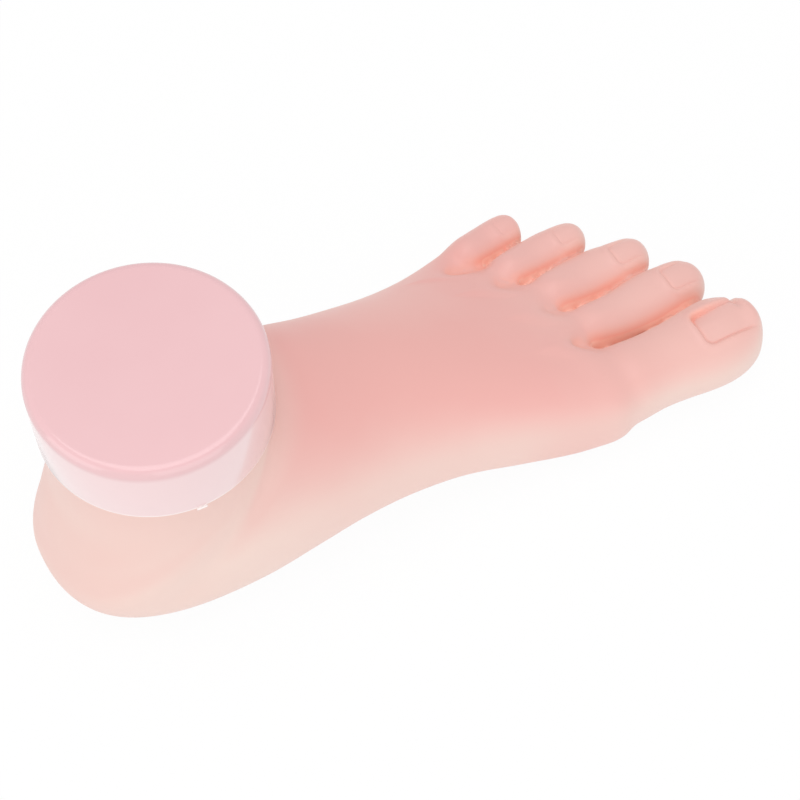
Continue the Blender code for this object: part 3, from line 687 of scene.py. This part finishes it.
def carveNail(part, index):
    # a sunk nail bed with a groove at its back and sides and a soft fold of skin round it; on the
    # big toe the bed tilts away from a raised outer fold, the tip swells a little before it, and
    # a notch across that fold sets it off from the tip
    nail = {
        "start": [24.0 * mm, 27.8 * mm, 22.0 * mm, 17.4 * mm, 11.2 * mm][index],
        "half": [6.0 * mm, 4.6 * mm, 4.1 * mm, 3.5 * mm, 3.2 * mm][index],
        "off": [0.4 * mm, 0.5 * mm, 0.0, 0.0, 0.0][index],
        "corner": [2.6 * mm, 2.2 * mm, 2.0 * mm, 1.7 * mm, 1.5 * mm][index],
        "sink": [0.70 * mm, 0.35 * mm, 0.32 * mm, 0.22 * mm, 0.15 * mm][index],
        "groove": [0.40 * mm, 0.24 * mm, 0.20 * mm, 0.12 * mm, 0.08 * mm][index],
        "tilt": [1.1 * mm, 0.15 * mm, 0.1 * mm, 0.0, 0.0][index],
        "outerFold": [0.15 * mm, 0.10 * mm, 0.05 * mm, 0.0, 0.0][index],
        "tipSwell": [0.45 * mm, 0.0, 0.0, 0.0, 0.0][index],
        "notch": [1.50 * mm, 0.0, 0.0, 0.0, 0.0][index],
        "warm": [0.15, 0.12, 0.10, 0.06, 0.04][index],
        "nailWallShade": [0.60, 0.0, 0.0, 0.0, 0.0][index],
        "grooveWidth": 0.40 * mm, "edge": 0.55 * mm, "fold": 0.18 * mm, "foldOut": 1.3 * mm,
        "foldWidth": 0.9 * mm, "foldSpan": (7 * mm, 10 * mm), "closedSpan": (1 * mm, 8 * mm),
        "swellBack": 3.2 * mm, "swellWidth": 2.4 * mm, "notchBack": 4.9 * mm, "notchWidth": 1.3 * mm,
        "backShare": 0.75, "upward": 0.25, "margin": 3.2 * mm, "faceUp": 0.1, "warmWidth": 0.9 * mm,
    }
    inverse = toePlace(index).inverted()
    length = toe["lengths"][index]
    backEnd = nail["start"] + nail["backShare"] * (length - nail["start"])

    def outside(local):
        # distance from the nail's rounded outline, negative inside; its front stays open
        u = nail["start"] + nail["corner"] - local.x
        v = abs(local.y - nail["off"]) - nail["half"] + nail["corner"]
        return math.hypot(max(u, 0), max(v, 0)) + min(max(u, v), 0) - nail["corner"]

    for cut in range(2):
        selectFaces(part, lambda face: face.normal.z > nail["faceUp"]
                    and outside(inverse @ face.center) < nail["margin"])
        bpy.ops.mesh.subdivide(number_cuts=1)
        bpy.ops.mesh.vertices_smooth(factor=0.5, repeat=3)
        bpy.ops.object.mode_set(mode='OBJECT')
    paintedCreaseShade = part.data.attributes["paintedCreaseShade"].data
    moves = []
    for vert in part.data.vertices:
        local = inverse @ vert.co
        away, front = outside(local), length - local.x
        upward = fade(vert.normal.z, 0.0, nail["upward"])
        closed = fade(front, *nail["closedSpan"])
        back = 1 - fade(local.x, nail["start"], backEnd)
        outer = fade(local.y - nail["off"], 0.0, nail["half"])
        inside = fade(-away, -nail["edge"] / 2, nail["edge"] / 2)
        fold = nail["fold"] + nail["outerFold"] * outer * fade(front, *nail["foldSpan"])
        depth = (nail["sink"] + nail["tilt"] * outer * back) * inside * closed
        depth += nail["groove"] * bell(away, nail["grooveWidth"]) * closed
        depth -= fold * bell(away - nail["foldOut"], nail["foldWidth"]) * closed
        depth -= nail["tipSwell"] * bell(front - nail["swellBack"], nail["swellWidth"]) * outer
        depth += nail["notch"] * bell(front - nail["notchBack"], nail["notchWidth"]) * outer
        # painted shade in the groove round the nail and on the wall of the big toe's raised outer fold
        glow = nail["warm"] + nail["nailWallShade"] * outer * back
        glow *= bell(away, nail["warmWidth"]) * closed * upward
        paintedCreaseShade[vert.index].value = min(paintedCreaseShade[vert.index].value + glow, 1.0)
        moves.append(vert.normal * -depth * upward)
    for vert, move in zip(part.data.vertices, moves):
        vert.co += move


def keepSeamNormals(obj):
    # along its cut edges each piece keeps the normals of the undivided skin, so that no line shows
    stored = obj.data.attributes["wholeNormal"]
    whole = [value.vector.copy() for value in stored.data]
    mesh = bmesh.new()
    mesh.from_mesh(obj.data)
    rim = {vert.index for vert in mesh.verts if vert.is_boundary}
    mesh.free()
    obj.data.attributes.remove(stored)
    normals = [whole[v.index] if v.index in rim else v.normal.copy() for v in obj.data.vertices]
    obj.data.normals_split_custom_set_from_vertices(normals)


def sinkAnkle(skin):
    # the plate's plug stands in a recess in the top of the ankle
    top = foot["ankleTop"] - foot["recessNear"]
    selectFaces(skin, lambda face: face.normal.z > 0.9 and face.center.z > top
                and face.center.xy.length < foot["recessRadius"])
    bpy.ops.mesh.extrude_region_move(
        TRANSFORM_OT_translate={"value": (0, 0, foot["recessFloor"] - foot["ankleTop"])})
    bpy.ops.object.mode_set(mode='OBJECT')


def makeSkin():
    skin = makeWholeSkin()
    storePaintedCreaseShade(skin)
    storePaintedLight(skin)
    sinkAnkle(skin)
    toes = partToes(skin)
    skin.name = "footSkin"
    finish = mouldedSkin()
    keepSeamNormals(skin)
    dress(skin, finish)
    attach(skin, "foot")
    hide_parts("foot_skin")
    for index, part in enumerate(toes):
        widenToe(part, index)
        carveNail(part, index)
        lineToe(part, index)
        keepSeamNormals(part)
        dress(part, finish)
        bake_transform(part)
        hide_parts("toe_skin_" + str(index + 1))
    print("skin done")


# the cap

def makeCap():
    cap = {
        "more": 0.15 * mm, "rise": 0.9 * mm, "drop": 0.5 * mm, "around": 420, "wall": 2.0 * mm,
        "edge": 2.7 * mm, "edgeSteps": 12, "insets": [0.3 * mm, 2 * mm, 8 * mm, 8 * mm],
        "rim": 0.35 * mm, "rimSteps": 4, "near": 0.1 * mm, "sharp": math.radians(40),
        "nubTurn": math.radians(-91.5), "nubWidth": 3.0 * mm, "nubHeight": 0.9 * mm,
        "nubDepth": 1.6 * mm, "nubOut": 0.5 * mm, "nubEdge": 0.25 * mm, "nubSteps": 3,
    }
    low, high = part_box("ankle_cap")
    radius = (high.x - low.x) / 2 + cap["more"]
    top, bottom = high.z + cap["rise"], low.z - cap["drop"]
    pickOnly()
    bpy.ops.mesh.primitive_cylinder_add(
        vertices=cap["around"], radius=radius, depth=top - bottom, location=(0, 0, (top + bottom) / 2))
    part = bpy.context.object
    part.name = "glossyCap"
    bpy.ops.object.transform_apply(location=True)
    # the disc below goes, the edge above is rounded and the disc above gets rings
    selectFaces(part, lambda face: face.normal.z < -0.9)
    bpy.ops.mesh.delete(type='FACE')
    selectEdges(part, lambda a, b: min(a.z, b.z) > top - cap["near"])
    bpy.ops.mesh.bevel(offset=cap["edge"], segments=cap["edgeSteps"], profile=0.5, affect='EDGES')
    selectFaces(part, lambda face: face.normal.z > 0.99 and len(face.vertices) > 8)
    for step in cap["insets"]:
        bpy.ops.mesh.inset(thickness=step)
    bpy.ops.object.mode_set(mode='OBJECT')
    applyModifier(part, 'SOLIDIFY', thickness=cap["wall"], offset=-1.0, use_even_offset=True)
    selectEdges(part, lambda a, b: max(a.z, b.z) < bottom + cap["near"]
                and abs(a.xy.length - b.xy.length) < cap["near"])
    bpy.ops.mesh.bevel(offset=cap["rim"], segments=cap["rimSteps"], profile=0.5, affect='EDGES')
    bpy.ops.object.mode_set(mode='OBJECT')
    # the little spur that the mould leaves on the rim
    turn = cap["nubTurn"]
    across = radius + cap["nubOut"] - cap["nubDepth"] / 2
    bpy.ops.mesh.primitive_cube_add(
        size=1, location=(across * math.cos(turn), across * math.sin(turn), bottom),
        rotation=(0, 0, turn), scale=(cap["nubDepth"], cap["nubWidth"], cap["nubHeight"]))
    nub = bpy.context.object
    bpy.ops.object.transform_apply(location=True, rotation=True, scale=True)
    selectEdges(nub, lambda a, b: True)
    bpy.ops.mesh.bevel(offset=cap["nubEdge"], segments=cap["nubSteps"], affect='EDGES')
    bpy.ops.object.mode_set(mode='OBJECT')
    pickOnly(part, nub)
    bpy.ops.object.join()
    bpy.ops.object.shade_smooth_by_angle(angle=cap["sharp"])
    dress(part, glossyPink())
    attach(part, "cap")
    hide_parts("ankle_cap")
    print("cap done")


# the pieces inside keep their CAD shapes

def finishInside():
    core = mouldedPlastic("coreWhite", (0.76, 0.73, 0.68), (0.70, 0.67, 0.62), 0.55)
    plate = mouldedPlastic("plateWhite", (0.80, 0.77, 0.74), (0.75, 0.72, 0.69), 0.45)
    steel, rubber = platedSteel(), gripRubber()
    looks = {
        "foot_core": core, "toe_bone": core, "plate_screw": steel, "toe_pin": steel,
        "ankle_plate": plate, "cap_grip_ring": rubber,
    }
    for name, obj in frame["nodes"].items():
        for start, finish in looks.items():
            if name.startswith(start):
                dress(obj, finish)
    print("inside done")


# floor, light and camera

def addSeen(nodes, links):
    # 1 for what the camera sees straight or in a gloss, 0 for all other light
    ray = nodes.new("ShaderNodeLightPath")
    seen = nodes.new("ShaderNodeMath")
    seen.operation = 'MAXIMUM'
    links.new(ray.outputs["Is Camera Ray"], seen.inputs[0])
    links.new(ray.outputs["Is Glossy Ray"], seen.inputs[1])
    return seen.outputs[0]


def joinShaders(nodes, links, share, first, second, output):
    mix = nodes.new("ShaderNodeMixShader")
    for source, socket in zip((share, first, second), mix.inputs):
        links.new(source, socket)
    links.new(mix.outputs[0], output.inputs["Surface"])


def makeStage():
    # the floor glows where it is seen, so that it is white with only a faint shadow
    stage = {
        "size": 6.0, "height": -0.05 * mm, "colour": (0.95, 0.95, 0.95, 1), "roughness": 0.9,
        "glow": 1.0, "glowShare": 0.95,
    }
    bpy.ops.mesh.primitive_plane_add(size=stage["size"], location=(0, 0, stage["height"]))
    floor = bpy.context.object
    floor.name = "paleFloor"
    finish, nodes, links, shader, _ = newMaterial(
        "paleFloor", stage["roughness"], Base_Color=stage["colour"])
    glow = nodes.new("ShaderNodeEmission")
    glow.inputs["Strength"].default_value = stage["glow"]
    share = nodes.new("ShaderNodeMath")
    share.operation = 'MULTIPLY'
    share.inputs[1].default_value = stage["glowShare"]
    links.new(addSeen(nodes, links), share.inputs[0])
    joinShaders(nodes, links, share.outputs[0], shader.outputs[0], glow.outputs[0],
                nodes["Material Output"])
    dress(floor, finish)


def makeWorld():
    # a soft sky, which is plain white where it is seen
    sky = {"light": 0.73, "seen": 1.0}
    world = bpy.data.worlds.new("softSky")
    bpy.context.scene.world = world
    world.use_nodes = True
    nodes, links = world.node_tree.nodes, world.node_tree.links
    soft, white = nodes["Background"], nodes.new("ShaderNodeBackground")
    soft.inputs["Color"].default_value = (1, 1, 1, 1)
    soft.inputs["Strength"].default_value = sky["light"]
    white.inputs["Strength"].default_value = sky["seen"]
    joinShaders(nodes, links, addSeen(nodes, links), soft.outputs[0], white.outputs[0],
                nodes["World Output"])


softboxes = {
    "overhead": {"place": (0.03, 0.05, 0.85), "aim": (0.03, 0.05, 0.02), "size": 0.6, "power": 1.8},
    "front": {"place": (0.05, -0.80, 0.40), "aim": (0.08, 0, 0.02), "size": 0.8, "power": 1.45},
    "left": {"place": (-0.75, -0.10, 0.35), "aim": (0.0, 0, 0.04), "size": 0.6, "power": 1.2},
}


def addSoftbox(name, place, aim, size, power):
    light = bpy.data.lights.new(name, 'AREA')
    light.shape = 'SQUARE'
    light.size = size
    light.energy = power
    box = bpy.data.objects.new(name, light)
    bpy.context.scene.collection.objects.link(box)
    box.location = place
    box.rotation_euler = (Vector(aim) - Vector(place)).to_track_quat('-Z', 'Y').to_euler()


def makeCamera():
    view = {
        "place": (-64.8 * mm, -272.6 * mm, 556.9 * mm), "tilt": 29.21, "turn": -27.0,
        "lens": 93.87, "sensor": 36, "nearest": 10 * mm,
    }
    data = bpy.data.cameras.new("productCamera")
    camera = bpy.data.objects.new("productCamera", data)
    bpy.context.scene.collection.objects.link(camera)
    camera.location = view["place"]
    camera.rotation_euler = (math.radians(view["tilt"]), 0, math.radians(view["turn"]))
    data.lens = view["lens"]
    data.sensor_width = view["sensor"]
    data.clip_start = view["nearest"]
    bpy.context.scene.camera = camera


makeCamera()
makeSkin()
makeCap()
finishInside()
makeStage()
makeWorld()
for name, softbox in softboxes.items():
    addSoftbox(name, **softbox)
bpy.context.scene.view_settings.view_transform = 'Standard'
